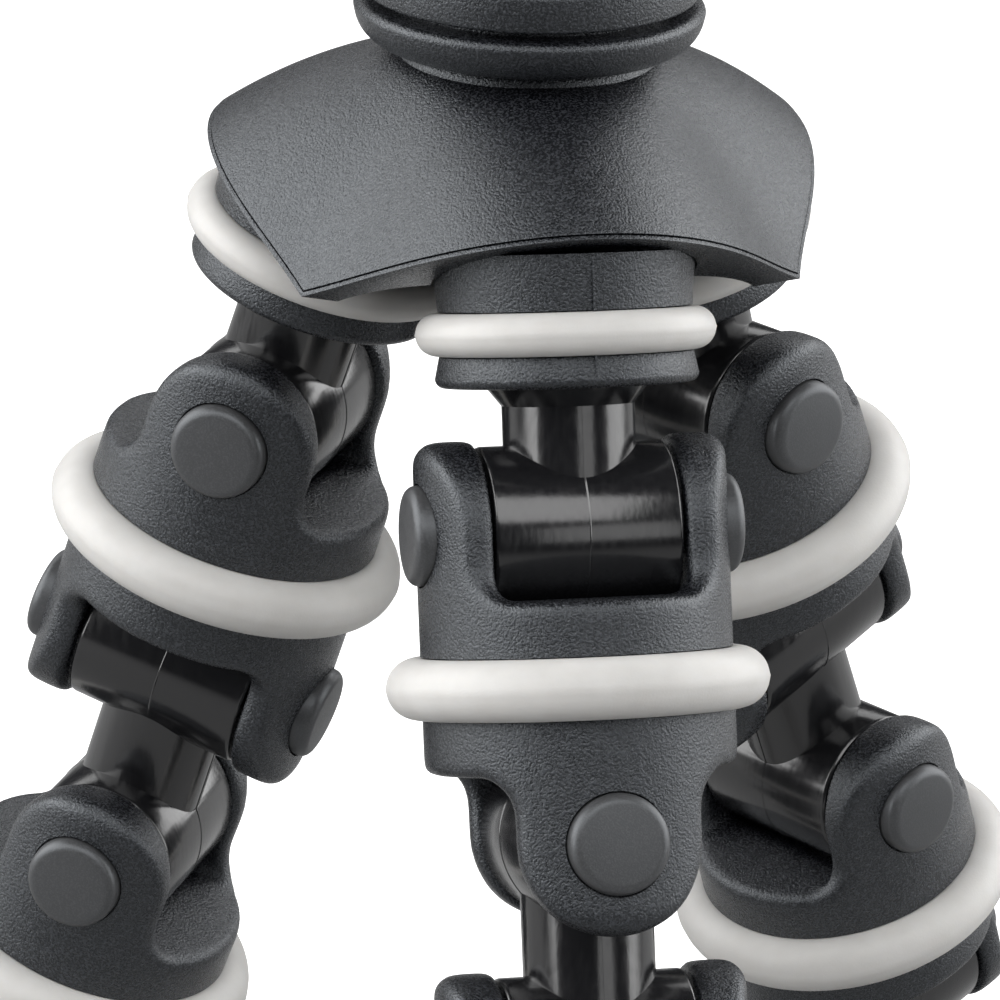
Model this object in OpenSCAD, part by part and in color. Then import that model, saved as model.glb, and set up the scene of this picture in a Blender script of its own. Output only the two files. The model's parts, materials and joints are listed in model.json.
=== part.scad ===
// Flexible leg tripod: a twist-lock ball head on a three-way hub with three jointed legs.
// +Z is up and the front leg points along -Y.
// The origin is the middle of the camera seat, so the tripod stands below it.

/* [Knuckles] */
// Outside diameter of a knuckle
knuckle_d = 24; // [23:0.5:26]
// Distance between the crossed upper and lower pins of a knuckle
pin_pitch = 23.4; // [22.6:0.2:27]
// Distance from a pin to the shoulder of the knuckle's trunk
shoulder_drop = 5.1; // [4.6:0.1:5.4]
// Radius of the round end of an ear
ear_r = 7.1; // [6.9:0.1:7.6]
// Thickness of an ear
ear_t = 3.4; // [2.8:0.1:3.8]
// Depth of the round seat for a pin's head, at the middle of the ear
ear_flat = 1.1; // [0.9:0.1:1.6]
// Radius of the fillet between an ear's edge and the shoulder
ear_fillet = 2.8; // [2:0.1:3]

/* [Links] */
// Distance between the crossed upper and lower pins of a link
link_pitch = 17.2; // [16.8:0.2:22]
// Diameter of a link's barrels
barrel_d = 13.2; // [12.4:0.2:13.6]
// Diameter of the stem that joins the barrels
stem_d = 10.2; // [8.6:0.2:11]

/* [Pins] */
// Diameter of a hinge pin
pin_d = 4.4; // [3.6:0.1:5]
// Diameter of a pin's round head
pin_head_d = 7.7; // [6.8:0.1:8.4]
// Height of a pin's head above the ear
pin_head_t = 1.9; // [1.4:0.1:2.2]

/* [Grip rings] */
// Thickness of a knuckle's grip ring
ring_cord = 4.7; // [4.2:0.1:5]
// Outside diameter of a knuckle's grip ring
ring_d = 29.4; // [28.8:0.2:30.2]
// Thickness of a socket's small ring
root_ring_cord = 3.3; // [2.8:0.1:3.5]
// Outside diameter of a socket's small ring
root_ring_d = 23; // [22.6:0.1:23.4]

/* [Hub] */
// How far the leg sockets' middles lie inside the hub's greatest radius, at their rings
socket_inset = 8.8; // [8:0.1:9]
// Outward lean of the leg sockets, in degrees
socket_tilt = 17.3; // [15:0.1:19]
// Diameter of a leg socket
socket_d = 20.2; // [19.4:0.2:21]
// Height of a leg socket above its ring
socket_up = 6; // [5.4:0.1:6.2]
// Height of a leg socket below its ring
socket_down = 4.1; // [3.6:0.1:4.6]
// Distance from a socket's ring to the first pin of the leg
root_drop = 15.2; // [15:0.2:19]
// Greatest radius of the hub over the legs
hub_r = 25; // [24.6:0.1:25.6]
// How far the hub is drawn in at its corners between the legs
corner_draw = 2.8; // [2.4:0.1:3.2]
// Height of the hub's top above the sockets' rings
hub_h = 17.2; // [16.8:0.1:18.5]
// Wall of the hub's upper shell
hub_wall = 1.6; // [1.3:0.1:2]

/* [Head] */
// Diameter of the saucer under the lock ring
saucer_d = 27.4; // [26:0.2:29]
// Diameter of the lock ring
lock_ring_d = 24.4; // [24:0.2:26]
// Height of the lock ring
lock_ring_h = 13.3; // [13:0.1:15]
// Diameter of the ball
ball_d = 17; // [16.4:0.1:17.2]
// Distance from the ball's middle to the underside of the camera platform
ball_reach = 14.5; // [14:0.5:18]
// Diameter of the camera platform
platform_d = 28; // [26:0.5:32]
// Thickness of the camera platform
platform_t = 4; // [3.6:0.2:6]
// Thickness of the soft pad on the platform
pad_t = 1.5; // [1:0.1:2.5]
// Diameter of the camera screw, a quarter of an inch
camera_screw_d = 6.35; // [6.35:0.01:6.4]
// Height of the camera screw above the seat
camera_screw_h = 5.5; // [4.5:0.1:6]

/* [Feet] */
// Radius of the round rubber tip
foot_r = 13; // [12.6:0.1:14]
// Height of the foot's trunk
foot_trunk_h = 8; // [7:0.5:12]

/* [Stance] */
// Inward bends of the front leg at its tangential pins, from the top, in degrees
front_bends = [-2.3, 0, 0, 0]; // [-40:0.1:40]
// Inward bends of the left leg
left_bends = [0.2, -3.2, -0.3, 0]; // [-40:0.1:40]
// Inward bends of the right leg
right_bends = [-5.8, 3.6, 2.7, 0]; // [-40:0.1:40]
// Sideways swings of the front leg at its radial pins, from the top, in degrees
front_swings = [0, 0, 0]; // [-40:0.1:40]
// Sideways swings of the left leg
left_swings = [1.8, 0, 0]; // [-40:0.1:40]
// Sideways swings of the right leg
right_swings = [0, 0, 0]; // [-40:0.1:40]

/* [Hidden] */
$fn = 64;

// Clearances
pin_play = 0.06;
head_play = 0.25;
side_play = 0.2;
trough_gap = 0.5;
groove_play = 0.1;
seat_play = 0.05;
shell_play = 0.1;
thread_play = 0.1;
ball_play = 0.1;
lip_play = 0.25;
screw_play = 0.25;
cut_over = 1;
far = 100;

// Knuckle, link and pin sizes that follow from the driving ones
knuckle_r = knuckle_d / 2;
ear_out = knuckle_r - ear_flat;
ear_in = ear_out - ear_t;
ear_foot_w = ear_r + ear_fillet;
fillet_steps = 5;
barrel_r = barrel_d / 2;
barrel_half = ear_in - side_play;
trough_r = barrel_r + trough_gap;
trunk_h = pin_pitch - 2 * shoulder_drop;
stem_r = stem_d / 2;
pin_r = pin_d / 2;
pin_bore_r = pin_r + pin_play;
pin_seat_r = pin_head_d / 2 + head_play;
ring_path_r = (ring_d - ring_cord) / 2;
ring_squash = 0.4;
ring_bed_r = ring_path_r - ring_cord / 2 + ring_squash;

// Socket and root stem sizes
socket_r = socket_d / 2;
socket_circle_r = hub_r - socket_inset;
root_ring_path_r = (root_ring_d - root_ring_cord) / 2;
root_ring_bed_r = root_ring_path_r - root_ring_cord / 2 + ring_squash;
flange_flare = 1.2;
flange_r = stem_r + flange_flare;
flange_h = 1.5;
spigot_r = 4;
spigot_h = 6;

// Hub sizes
hub_rim_r = 4;
hub_rim_z = 10.2;
rim_low = -5;
rim_high = 75;
rim_step = 10;
hub_neck_r = 9.4;
hub_draft = 1.4;
hub_flat_r = hub_r - corner_draw;
hub_foot_r = hub_r - hub_draft;
hub_foot_z = -6;
hub_side_r = 45;
facet_tilt = 30.8;
facet_z = -4.9;
hollow_mid_r = 7;
hollow_at_r = 11;
hollow_r = 8;
ceiling_z = 6.5;
well_r = 7;
well_z = 9.4;
corner_screw_r = 15.5;
corner_boss_r = 3.2;
corner_boss_z = 10;
screw_r = 1.5;
screw_len = 6;
screw_head_r = 2.7;
screw_head_h = 2;
socket_screw_h = 9;

// Head sizes, as heights above the sockets' rings
neck_r = 9;
neck_h = 1.4;
saucer_r = saucer_d / 2;
saucer_rise = 1.7;
saucer_lip = 1;
saucer_bevel = 0.5;
groove_r = 11;
groove_h = 0.9;
tube_r = 10.2;
tube_bore_r = 9.05;
tube_floor_h = 2.8;
ball_r = ball_d / 2;
lip_h = 4.5;
lip_step = 0.3;
tube_drop = 1;
stud_r = 4;
seat_bed_h = 5.5;
rib_count = 24;
rib_r = 0.7;
rib_sink = 0.25;
rib_edge = 1.2;
plain_h = 3;
platform_rim = 0.5;
shank_r = 3;
pad_bore_r = camera_screw_d / 2 + screw_play;
collar_r = 5;
collar_h = 1.8;
bolt_r = 3;
bolt_head_r = 5.2;
bolt_head_h = 3;
bolt_reach = 2;
neck_z = hub_h;
saucer_z = neck_z + neck_h;
groove_z = saucer_z + saucer_rise + saucer_lip + saucer_bevel;
lock_z = groove_z + groove_h;
lock_top_z = lock_z + lock_ring_h;
ball_z = lock_top_z - lip_h;
tube_floor_z = neck_z + tube_floor_h;
tube_top_z = ball_z - tube_drop;
platform_z = ball_z + ball_reach;
pad_z = platform_z + platform_t;
seat_z = pad_z + pad_t;

// Foot sizes, below the foot's pin
foot_sink = 4.4;
foot_ball_z = -(shoulder_drop + foot_trunk_h + foot_sink);
foot_spigot_r = 7.5;
foot_spigot_h = 7;

// Legs: their names, directions and joint angles
legs = ["front", "left", "right"];
leg_turns = [0, 240, 120];
bends = [front_bends, left_bends, right_bends];
swings = [front_swings, left_swings, right_swings];
knuckle_count = 3;
foot_step = knuckle_count;

charcoal = [0.29, 0.29, 0.30];
gloss_black = [0.09, 0.09, 0.10];
ring_white = [0.84, 0.83, 0.81];
pin_grey = [0.31, 0.31, 0.31];
steel = [0.66, 0.67, 0.68];
rubber_black = [0.07, 0.07, 0.07];

head_nodes = [
    "hub_cover", "hub_base", "hub_screws", "leg_sockets", "root_rings", "root_stems",
    "head_base", "head_bolt", "ball_seat", "lock_ring", "ball_stud", "platform",
    "platform_pad", "camera_screw"
];
knuckle_pieces = ["knuckle", "ring", "pins", "link"];
foot_pieces = ["foot", "foot_pin", "foot_tip"];

// Positions. A leg's frame has X along the tangential pins, Y inward and Z up the leg.
module at_hub() {
    translate([0, 0, -seat_z]) children();
}

module at_leg(leg) {
    at_hub() rotate([0, 0, leg_turns[leg]]) children();
}

module at_socket(leg) {
    at_leg(leg) translate([0, -socket_circle_r, 0]) rotate([-socket_tilt, 0, 0]) children();
}

module at_knuckle(leg, step) {
    if (step == 0)
        at_socket(leg) translate([0, 0, -root_drop]) rotate([bends[leg][0], 0, 0]) children();
    else
        at_link(leg, step - 1) translate([0, 0, -link_pitch]) rotate([bends[leg][step], 0, 0]) children();
}

module at_link(leg, step) {
    at_knuckle(leg, step)
        translate([0, 0, -pin_pitch]) rotate([0, swings[leg][step], 0]) children();
}

// A rod along X or along Y, centred on the origin
module rod_x(r, h) {
    rotate([0, 90, 0]) cylinder(r = r, h = h, center = true);
}

module rod_y(r, h) {
    rotate([90, 0, 0]) cylinder(r = r, h = h, center = true);
}

// Outline of an ear seen along its pin: a round end on a foot that runs into the shoulder in two fillets
module ear_outline() {
    foot_z = -shoulder_drop - cut_over;
    sweep = [for (i = [0:fillet_steps]) 180 + 90 * i / fillet_steps];
    middle = [ear_foot_w, ear_fillet - shoulder_drop];
    curve = [for (a = sweep) middle + ear_fillet * [cos(a), sin(a)]];
    circle(r = ear_r);
    for (side = [-1, 1]) scale([side, 1])
        polygon(concat([[0, 0], [ear_r, 0]], curve, [[ear_foot_w, foot_z], [0, foot_z]]));
}

// Ears right across the trunk, before the slot is cut between them
module ear_block() {
    rotate([90, 0, 90]) linear_extrude(height = 2 * knuckle_d, center = true) ear_outline();
}

// What a pin, its seats, its link's barrel and the slot between the ears take out of a clevis along X
module clevis_cuts() {
    rod_x(pin_bore_r, far);
    rod_x(trough_r, 2 * ear_in);
    translate([-ear_in, -far / 2, -shoulder_drop]) cube([2 * ear_in, far, far]);
    for (side = [-1, 1]) translate([side * (ear_out + far / 2), 0, 0]) rod_x(pin_seat_r, far);
}

module ring_groove(path_r, cord, bed_r) {
    half_w = cord / 2 + groove_play;
    rotate_extrude() difference() {
        translate([path_r, 0]) circle(r = half_w);
        translate([bed_r - cord, -cord]) square([cord, 2 * cord]);
    }
}

module grip_ring(path_r, cord, bed_r) {
    rotate_extrude() difference() {
        translate([path_r, 0]) circle(d = cord);
        translate([bed_r - cord, -cord]) square([cord, 2 * cord]);
    }
}

// A pin with a round head at each end, along X
module hinge_pin() {
    rod_x(pin_r, 2 * ear_out + pin_head_t);
    for (side = [-1, 1])
        translate([side * (ear_out + pin_head_t / 2), 0, 0]) rod_x(pin_head_d / 2, pin_head_t);
}

module lower_clevis() {
    translate([0, 0, -pin_pitch]) rotate([180, 0, 90]) children();
}

module knuckle_shape() {
    difference() {
        intersection() {
            translate([0, 0, -pin_pitch - ear_r - cut_over])
                cylinder(r = knuckle_r, h = pin_pitch + 2 * (ear_r + cut_over));
            union() {
                translate([-knuckle_d, -knuckle_d, -shoulder_drop - trunk_h])
                    cube([2 * knuckle_d, 2 * knuckle_d, trunk_h]);
                ear_block();
                lower_clevis() ear_block();
            }
        }
        clevis_cuts();
        lower_clevis() clevis_cuts();
        translate([0, 0, -pin_pitch / 2]) ring_groove(ring_path_r, ring_cord, ring_bed_r);
    }
}

module knuckle(leg, step) {
    color(charcoal) at_knuckle(leg, step) knuckle_shape();
}

module ring(leg, step) {
    color(ring_white) at_knuckle(leg, step)
        translate([0, 0, -pin_pitch / 2]) grip_ring(ring_path_r, ring_cord, ring_bed_r);
}

module pins(leg, step) {
    color(pin_grey) at_knuckle(leg, step) {
        hinge_pin();
        lower_clevis() hinge_pin();
    }
}

// The upper barrel turns on the knuckle above, the lower one carries the next piece
module link(leg, step) {
    color(gloss_black) at_link(leg, step) difference() {
        union() {
            rod_y(barrel_r, 2 * barrel_half);
            translate([0, 0, -link_pitch]) rod_x(barrel_r, 2 * barrel_half);
            translate([0, 0, -link_pitch]) cylinder(r = stem_r, h = link_pitch);
        }
        rod_y(pin_bore_r, far);
        translate([0, 0, -link_pitch]) rod_x(pin_bore_r, far);
    }
}

module foot(leg) {
    color(charcoal) at_knuckle(leg, foot_step) difference() {
        union() {
            intersection() {
                translate([0, 0, -shoulder_drop - foot_trunk_h])
                    cylinder(r = knuckle_r, h = foot_trunk_h + shoulder_drop + ear_r + cut_over);
                union() {
                    translate([-knuckle_d, -knuckle_d, -shoulder_drop - foot_trunk_h])
                        cube([2 * knuckle_d, 2 * knuckle_d, foot_trunk_h]);
                    ear_block();
                }
            }
            translate([0, 0, -shoulder_drop - foot_trunk_h - foot_spigot_h])
                cylinder(r = foot_spigot_r, h = foot_spigot_h + cut_over);
        }
        clevis_cuts();
    }
}

module foot_pin(leg) {
    color(pin_grey) at_knuckle(leg, foot_step) hinge_pin();
}

module foot_tip(leg) {
    color(ring_white) at_knuckle(leg, foot_step) difference() {
        translate([0, 0, foot_ball_z]) sphere(r = foot_r);
        translate([0, 0, -shoulder_drop - foot_trunk_h]) cylinder(r = far / 2, h = far);
        translate([0, 0, -shoulder_drop - foot_trunk_h - foot_spigot_h])
            cylinder(r = foot_spigot_r, h = far);
    }
}

// Outline of the hub from above: three wide arcs that meet over the legs
module hub_outline(inset) {
    intersection_for (turn = leg_turns)
        rotate(turn + 90) translate([hub_flat_r - inset - hub_side_r, 0]) circle(r = hub_side_r);
}

// Half of the bell's section, with its top and sides moved in by a wall
module bell_section(inset) {
    rim = [hub_r - hub_rim_r, hub_rim_z];
    rim_r = hub_rim_r - inset;
    top = [hub_neck_r, hub_h - inset];
    foot = [hub_foot_r - inset, hub_foot_z];
    brow = [for (a = [rim_low:rim_step:rim_high]) rim + rim_r * [cos(a), sin(a)]];
    polygon(concat([[0, hub_foot_z], foot], brow, [top, [0, top.y]]));
}

module bell(inset) {
    intersection() {
        rotate_extrude() bell_section(inset);
        translate([0, 0, -far / 2]) linear_extrude(far) hub_outline(inset);
    }
}

// Space below the three sloping faces that the hub's underside is cut by
module below_facets() {
    for (turn = leg_turns)
        rotate([0, 0, turn]) translate([0, 0, facet_z]) rotate([-facet_tilt, 0, 0])
            translate([-far / 2, -far / 2, -far]) cube([far, far, far]);
}

module at_corner_screws() {
    for (turn = leg_turns) rotate([0, 0, turn + 90]) translate([corner_screw_r, 0, 0]) children();
}

module at_hub_socket(turn) {
    rotate([0, 0, turn]) translate([0, -socket_circle_r, 0]) rotate([-socket_tilt, 0, 0]) children();
}

module hub_cover() {
    color(charcoal) at_hub() difference() {
        bell(0);
        difference() {
            bell(hub_wall);
            at_corner_screws() translate([0, 0, corner_boss_z]) cylinder(r = corner_boss_r, h = far);
        }
        below_facets();
        at_corner_screws() cylinder(r = screw_r, h = ceiling_z + screw_len);
        cylinder(r = bolt_r + seat_play, h = far);
    }
}

// Hollows of the base between the sockets, which leave its sloping rim
module base_hollow() {
    translate([0, 0, ceiling_z - far]) {
        cylinder(r = hollow_mid_r, h = far);
        for (turn = leg_turns) rotate([0, 0, turn + 90]) translate([hollow_at_r, 0, 0])
            cylinder(r = hollow_r, h = far);
    }
}

module hub_base() {
    color(charcoal) at_hub() difference() {
        bell(hub_wall + shell_play);
        below_facets();
        base_hollow();
        for (turn = leg_turns) at_hub_socket(turn) {
            translate([0, 0, socket_up - far]) cylinder(r = socket_r + shell_play, h = far);
            cylinder(r = screw_r + seat_play, h = far);
            translate([0, 0, socket_screw_h]) cylinder(r = screw_head_r + seat_play, h = far);
        }
        at_corner_screws() {
            cylinder(r = screw_r + seat_play, h = far);
            translate([0, 0, corner_boss_z - shell_play]) cylinder(r = corner_boss_r + shell_play, h = far);
        }
        translate([0, 0, well_z]) cylinder(r = well_r, h = far);
    }
}

// A round-headed screw pointing up, seated at the origin
module hub_screw() {
    cylinder(r = screw_r, h = screw_len);
    translate([0, 0, -screw_head_h]) cylinder(r = screw_head_r, h = screw_head_h);
}

module hub_screws() {
    color(steel) at_hub() {
        at_corner_screws() translate([0, 0, ceiling_z]) hub_screw();
        for (turn = leg_turns) at_hub_socket(turn)
            translate([0, 0, socket_screw_h]) mirror([0, 0, 1]) hub_screw();
    }
}

module leg_sockets() {
    color(charcoal) for (leg = [0:2]) at_socket(leg) difference() {
        translate([0, 0, -socket_down]) cylinder(r = socket_r, h = socket_down + socket_up);
        ring_groove(root_ring_path_r, root_ring_cord, root_ring_bed_r);
        translate([0, 0, socket_screw_h - screw_len]) cylinder(r = screw_r, h = far);
        translate([0, 0, -far - socket_down + spigot_h]) cylinder(r = spigot_r, h = far);
    }
}

module root_rings() {
    color(ring_white) for (leg = [0:2]) at_socket(leg)
        grip_ring(root_ring_path_r, root_ring_cord, root_ring_bed_r);
}

// A stem with a flared flange against the socket and a barrel for the first pin
module root_stem() {
    difference() {
        union() {
            translate([0, 0, -socket_down]) cylinder(r = spigot_r, h = spigot_h);
            translate([0, 0, -socket_down - flange_h]) cylinder(r1 = stem_r, r2 = flange_r, h = flange_h);
            translate([0, 0, -root_drop]) cylinder(r = stem_r, h = root_drop - socket_down);
            translate([0, 0, -root_drop]) rod_x(barrel_r, 2 * barrel_half);
        }
        translate([0, 0, -root_drop]) rod_x(pin_bore_r, far);
    }
}

module root_stems() {
    color(gloss_black) for (leg = [0:2]) at_socket(leg) root_stem();
}

// Neck, saucer and the threaded tube that the ball sits in
module head_base() {
    color(charcoal) at_hub() difference() {
        rotate_extrude() polygon([
            [0, neck_z], [neck_r, neck_z], [neck_r, saucer_z],
            [saucer_r, saucer_z + saucer_rise], [saucer_r, saucer_z + saucer_rise + saucer_lip],
            [saucer_r - saucer_bevel, groove_z], [groove_r, groove_z], [groove_r, lock_z],
            [tube_r, lock_z], [tube_r, tube_top_z], [0, tube_top_z]
        ]);
        translate([0, 0, tube_floor_z]) cylinder(r = tube_bore_r, h = far);
        translate([0, 0, neck_z - cut_over]) cylinder(r = bolt_r, h = cut_over + bolt_reach);
    }
}

module head_bolt() {
    color(steel) at_hub() {
        translate([0, 0, hub_h - hub_wall]) cylinder(r = bolt_r, h = hub_wall + bolt_reach);
        translate([0, 0, hub_h - hub_wall - bolt_head_h]) cylinder(r = bolt_head_r, h = bolt_head_h);
    }
}

module ball_seat() {
    color(ring_white) at_hub() difference() {
        translate([0, 0, tube_floor_z + seat_play])
            cylinder(r = tube_bore_r - seat_play, h = seat_bed_h + tube_floor_h);
        translate([0, 0, ball_z]) sphere(r = ball_r + ball_play);
    }
}

module lock_ring() {
    lock_r = lock_ring_d / 2;
    rib_h = lock_ring_h - plain_h - rib_edge;
    color(charcoal) at_hub() difference() {
        union() {
            translate([0, 0, lock_z + seat_play]) cylinder(r = lock_r, h = lock_ring_h - seat_play);
            for (i = [1:rib_count]) rotate([0, 0, i * 360 / rib_count])
                translate([lock_r - rib_sink, 0, lock_z + plain_h]) cylinder(r = rib_r, h = rib_h);
        }
        translate([0, 0, lock_z - cut_over])
            cylinder(r = tube_r + thread_play, h = tube_top_z - lock_z + lip_step + cut_over);
        translate([0, 0, ball_z]) sphere(r = ball_r + lip_play);
    }
}

module ball_stud() {
    color(steel) at_hub() translate([0, 0, ball_z]) {
        sphere(r = ball_r);
        cylinder(r = stud_r, h = ball_reach);
    }
}

module platform() {
    platform_r = platform_d / 2;
    color(charcoal) at_hub() difference() {
        rotate_extrude() polygon([
            [0, platform_z], [platform_r - platform_rim, platform_z],
            [platform_r, platform_z + platform_rim], [platform_r, pad_z - platform_rim],
            [platform_r - platform_rim, pad_z], [0, pad_z]
        ]);
        translate([0, 0, platform_z - cut_over]) cylinder(r = shank_r + seat_play, h = far);
        translate([0, 0, platform_z - cut_over]) cylinder(r = collar_r + seat_play, h = collar_h + cut_over);
    }
}

module platform_pad() {
    color(rubber_black) at_hub() translate([0, 0, pad_z]) difference() {
        cylinder(r = platform_d / 2 - platform_rim, h = pad_t);
        translate([0, 0, -cut_over]) cylinder(r = pad_bore_r, h = far);
    }
}

// The screw's collar is held between the platform and the end of the ball's stud
module camera_screw() {
    color(steel) at_hub() {
        translate([0, 0, platform_z]) cylinder(r = collar_r, h = collar_h);
        translate([0, 0, platform_z]) cylinder(r = shank_r, h = platform_t + pad_t);
        translate([0, 0, seat_z]) cylinder(d = camera_screw_d, h = camera_screw_h);
    }
}

hub_cover();
hub_base();
hub_screws();
leg_sockets();
root_rings();
root_stems();
head_base();
head_bolt();
ball_seat();
lock_ring();
ball_stud();
platform();
platform_pad();
camera_screw();

for (leg = [0:2]) {
    for (step = [0:knuckle_count - 1]) {
        knuckle(leg, step);
        ring(leg, step);
        pins(leg, step);
        link(leg, step);
    }
    foot(leg);
    foot_pin(leg);
    foot_tip(leg);
}
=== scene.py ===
import json
import math

import bpy
from mathutils import Matrix, Vector


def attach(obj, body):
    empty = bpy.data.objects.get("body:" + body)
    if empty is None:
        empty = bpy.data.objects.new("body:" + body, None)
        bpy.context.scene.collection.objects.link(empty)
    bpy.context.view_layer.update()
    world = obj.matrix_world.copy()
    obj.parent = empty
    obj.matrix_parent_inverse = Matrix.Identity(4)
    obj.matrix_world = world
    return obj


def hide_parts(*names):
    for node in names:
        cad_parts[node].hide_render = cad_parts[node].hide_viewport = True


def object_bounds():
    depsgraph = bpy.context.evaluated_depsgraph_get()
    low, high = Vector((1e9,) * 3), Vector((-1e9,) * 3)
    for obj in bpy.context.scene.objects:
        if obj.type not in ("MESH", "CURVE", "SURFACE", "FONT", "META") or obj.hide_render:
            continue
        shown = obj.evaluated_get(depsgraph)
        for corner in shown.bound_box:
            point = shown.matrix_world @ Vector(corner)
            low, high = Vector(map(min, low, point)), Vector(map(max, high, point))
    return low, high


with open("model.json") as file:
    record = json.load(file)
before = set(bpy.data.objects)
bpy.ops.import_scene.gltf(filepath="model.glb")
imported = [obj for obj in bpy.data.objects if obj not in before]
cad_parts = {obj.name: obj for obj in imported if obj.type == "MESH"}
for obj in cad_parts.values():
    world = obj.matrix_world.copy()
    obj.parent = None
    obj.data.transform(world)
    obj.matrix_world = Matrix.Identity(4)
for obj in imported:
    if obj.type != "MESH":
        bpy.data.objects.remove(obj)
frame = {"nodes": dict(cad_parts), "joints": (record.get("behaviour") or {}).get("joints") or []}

cad_low, cad_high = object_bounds()
mm = 0.001
scene = bpy.context.scene
scene.view_settings.view_transform = "Standard"


# The photograph's view: a long lens a little above the hub, turned a few degrees to its left. The frame
# cuts the head off at its saucer and the legs below their second knuckles.
ring_plane = -51.5 * mm
view_turn = math.radians(-12.79)
view_rise = math.radians(20.03)
view_roll = math.radians(1.97)
view_distance = 488.85 * mm
aim_right = -1.61 * mm
aim_up = -18.46 * mm
photo_px = 1000
focal_px = 6209.3

look_back = Vector((math.sin(view_turn) * math.cos(view_rise),
                    -math.cos(view_turn) * math.cos(view_rise), math.sin(view_rise)))
level_right = Vector((math.cos(view_turn), math.sin(view_turn), 0))
level_up = look_back.cross(level_right)
look_right = level_right * math.cos(view_roll) + level_up * math.sin(view_roll)
look_up = level_up * math.cos(view_roll) - level_right * math.sin(view_roll)

camera_data = bpy.data.cameras.new("camera")
camera_data.sensor_width = 36
camera_data.lens = focal_px / photo_px * camera_data.sensor_width
camera_data.clip_start = 0.05
camera_data.clip_end = 60
camera = bpy.data.objects.new("camera", camera_data)
scene.collection.objects.link(camera)
camera_place = Matrix((look_right, look_up, look_back)).transposed().to_4x4()
camera_place.translation = (Vector((0, 0, ring_plane)) + look_right * aim_right
                            + look_up * aim_up + look_back * view_distance)
camera.matrix_world = camera_place
scene.camera = camera


# The studio: a wide floor under the feet, a tall soft box on each side, a smaller one above the lens, a small
# card right of the lens and a wide lamp behind. To the lens the floor glows pale, and more behind the tripod up
# to white: painted light that stands in for a lit paper sweep behind, fading towards the front.
# Reflections see a part of that glow behind, and the floor still takes the tripod's shadow.
floor_size = 60
floor_colour = (0.3, 0.3, 0.3, 1)
floor_lift = 0.8
front_lift = 0.5
mirror_share = 0.2
glow_near = 0.05
glow_far = 0.18
room_colour = (0.045, 0.046, 0.05, 1)
lamp_aim = Vector((0, 0, 2 * ring_plane))

bpy.ops.object.select_all(action="DESELECT")
bpy.ops.mesh.primitive_plane_add(size=floor_size, location=(0, 0, cad_low.z))
floor = bpy.context.object
floor.name = "floor"
floor_paint = bpy.data.materials.new("floor_paint")
floor_paint.use_nodes = True
nodes, links = floor_paint.node_tree.nodes, floor_paint.node_tree.links
nodes.clear()
paint = nodes.new("ShaderNodeBsdfDiffuse")
paint.inputs["Color"].default_value = floor_colour
glow = nodes.new("ShaderNodeEmission")
ray = nodes.new("ShaderNodeLightPath")
seen_or_mirrored = nodes.new("ShaderNodeMath")
seen_or_mirrored.operation = "MULTIPLY_ADD"
seen_or_mirrored.inputs[1].default_value = mirror_share
seen_at_all = nodes.new("ShaderNodeMath")
lift = nodes.new("ShaderNodeMath")
lift.operation = "MULTIPLY_ADD"
near_lift = nodes.new("ShaderNodeMath")
near_lift.operation = "MULTIPLY"
near_lift.inputs[1].default_value = front_lift
both = nodes.new("ShaderNodeAddShader")
out = nodes.new("ShaderNodeOutputMaterial")
links.new(ray.outputs["Is Glossy Ray"], seen_or_mirrored.inputs[0])
links.new(ray.outputs["Is Camera Ray"], seen_or_mirrored.inputs[2])
links.new(seen_or_mirrored.outputs[0], seen_at_all.inputs[0])
links.new(ray.outputs["Is Transmission Ray"], seen_at_all.inputs[1])
links.new(seen_at_all.outputs[0], lift.inputs[0])
links.new(ray.outputs["Is Camera Ray"], near_lift.inputs[0])
links.new(near_lift.outputs[0], lift.inputs[2])
spot = nodes.new("ShaderNodeTexCoord")
depth = nodes.new("ShaderNodeVectorMath")
depth.operation = "DOT_PRODUCT"
depth.inputs[1].default_value = (-math.sin(view_turn), math.cos(view_turn), 0)
# Painted light: the floor's glow grows from its front to behind the tripod.
glow_behind = nodes.new("ShaderNodeMapRange")
glow_behind.interpolation_type = "SMOOTHSTEP"
glow_behind.inputs["From Min"].default_value = glow_near
glow_behind.inputs["From Max"].default_value = glow_far
glow_behind.inputs["To Max"].default_value = floor_lift
links.new(spot.outputs["Object"], depth.inputs[0])
links.new(depth.outputs["Value"], glow_behind.inputs["Value"])
links.new(glow_behind.outputs["Result"], lift.inputs[1])
links.new(lift.outputs[0], glow.inputs["Strength"])
links.new(paint.outputs[0], both.inputs[0])
links.new(glow.outputs[0], both.inputs[1])
links.new(both.outputs[0], out.inputs["Surface"])
floor.data.materials.append(floor_paint)

room = bpy.data.worlds.new("room")
room.use_nodes = True
room.node_tree.nodes["Background"].inputs["Color"].default_value = room_colour
scene.world = room


def soft_box(name, turn, rise, distance, width, height, radiance):
    """A rectangular lamp that faces the upper legs, with its turn counted as the camera's is."""
    lamp = bpy.data.lights.new(name, "AREA")
    lamp.shape = "RECTANGLE"
    lamp.size, lamp.size_y = width, height
    lamp.energy = radiance * math.pi * width * height
    stand = bpy.data.objects.new(name, lamp)
    scene.collection.objects.link(stand)
    turn, rise = math.radians(turn), math.radians(rise)
    towards = Vector((math.sin(turn) * math.cos(rise), -math.cos(turn) * math.cos(rise), math.sin(rise)))
    stand.matrix_world = towards.to_track_quat("Z", "Y").to_matrix().to_4x4()
    stand.location = lamp_aim + towards * distance


soft_box("left_box", turn=-101, rise=25, distance=0.9, width=1.25, height=0.84, radiance=3.6)
soft_box("right_box", turn=93, rise=23, distance=0.9, width=1.3, height=0.84, radiance=3)
soft_box("top_box", turn=-13, rise=51, distance=0.9, width=1.0, height=0.52, radiance=2.6)
soft_box("front_card", turn=17, rise=16, distance=0.9, width=0.4, height=0.3, radiance=1.2)
soft_box("wall_light", turn=170, rise=36, distance=1.0, width=1.6, height=0.5, radiance=1.4)


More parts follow.
